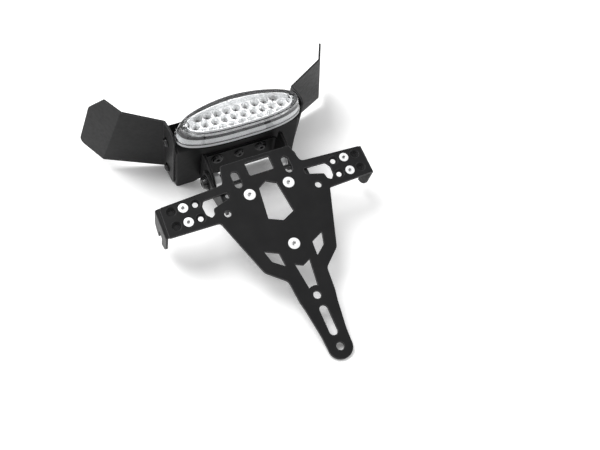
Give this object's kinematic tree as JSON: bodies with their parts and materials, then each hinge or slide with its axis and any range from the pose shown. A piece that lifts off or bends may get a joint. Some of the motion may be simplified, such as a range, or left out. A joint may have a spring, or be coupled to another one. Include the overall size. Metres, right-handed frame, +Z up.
{
  "type": "motorcycle tail tidy",
  "caption": "Folded metal tail bracket with side wings, an oval rear lamp and a tilting number plate bracket with slotted indicator ears.",
  "frame": {"origin": "centre of the four open countersunk holes in the arms of the number plate bracket, on the bracket's rear face", "axes": "+Z up along the bracket, from its stem tip towards the lamp; -Y to the rear, out of the bracket's visible face; X across the vehicle"},
  "size_m": [0.3014, 0.1139, 0.3489],
  "materials": {
    "powder_black": "satin",
    "black_bolt": "satin",
    "zinc": "satin",
    "chrome": "polished",
    "lens": "polished",
    "housing": "matte",
    "board": "satin",
    "led": "polished",
    "rubber": "matte"
  },
  "bodies": {
    "tail": {"hinge_bracket": "powder_black", "light_bracket": "powder_black", "left_wing": "powder_black", "right_wing": "powder_black", "left_pivot_bolt": "black_bolt", "right_pivot_bolt": "black_bolt", "pivot_spacers": "black_bolt", "pivot_washers": "zinc", "pivot_nuts": "zinc", "tail_bolts": "black_bolt", "centre_screw": "black_bolt", "left_wing_bolts": "black_bolt", "right_wing_bolts": "black_bolt", "left_wing_nuts": "zinc", "right_wing_nuts": "zinc", "lamp_gasket": "rubber", "lamp_housing": "housing", "lamp_circuit_board": "board", "lamp_leds": "led", "lamp_reflector": "chrome", "lamp_lens": "lens", "lamp_screws": "zinc", "lamp_studs": "zinc", "lamp_nuts": "zinc", "cable_grommet": "rubber"},
    "plate": {"number_plate_bracket": "powder_black", "plate_screws": "zinc", "plate_nuts": "zinc", "tilt_bracket": "powder_black", "left_indicator_bracket": "powder_black", "right_indicator_bracket": "powder_black", "left_indicator_screws": "zinc", "right_indicator_screws": "zinc", "left_indicator_nuts": "zinc", "right_indicator_nuts": "zinc"}
  },
  "joints": [
    {"name": "plate_tilt", "type": "hinge", "parent": "tail", "child": "plate", "pos_m": [0, 0.0375, 0.0425], "axis": [1, 0, 0], "range_deg": [-25, 40]}
  ]
}
